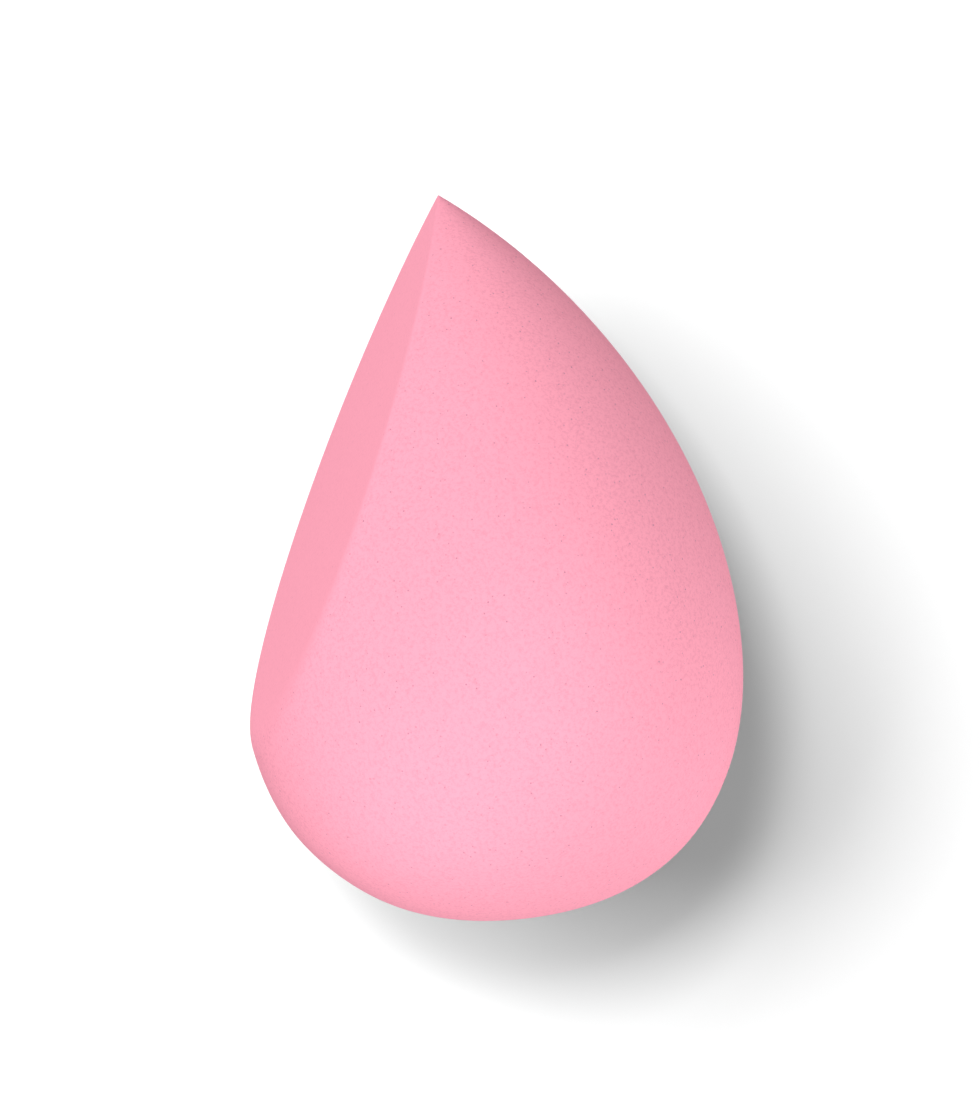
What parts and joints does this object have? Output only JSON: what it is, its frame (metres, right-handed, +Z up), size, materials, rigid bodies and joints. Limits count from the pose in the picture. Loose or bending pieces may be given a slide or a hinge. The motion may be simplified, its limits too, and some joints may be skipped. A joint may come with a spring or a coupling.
{
  "type": "makeup sponge",
  "caption": "Teardrop makeup sponge of soft pink foam with a pointed tip, a round base and one slanted flat face, used to dab and blend liquid and cream make-up.",
  "frame": {"origin": "middle of the small flat patch that the sponge rests on, straight under the widest ring of the bulb", "axes": "the sponge lies on its side: +Z up, +Y along its own axis towards the pointed tip, and the slanted flat on the -X side, rolled up a little towards +Z"},
  "size_m": [0.0412, 0.06, 0.0408],
  "materials": {
    "foam": "matte open-cell polyurethane foam, pale pink"
  },
  "bodies": {
    "root": {"foam_body": "foam"}
  },
  "joints": []
}
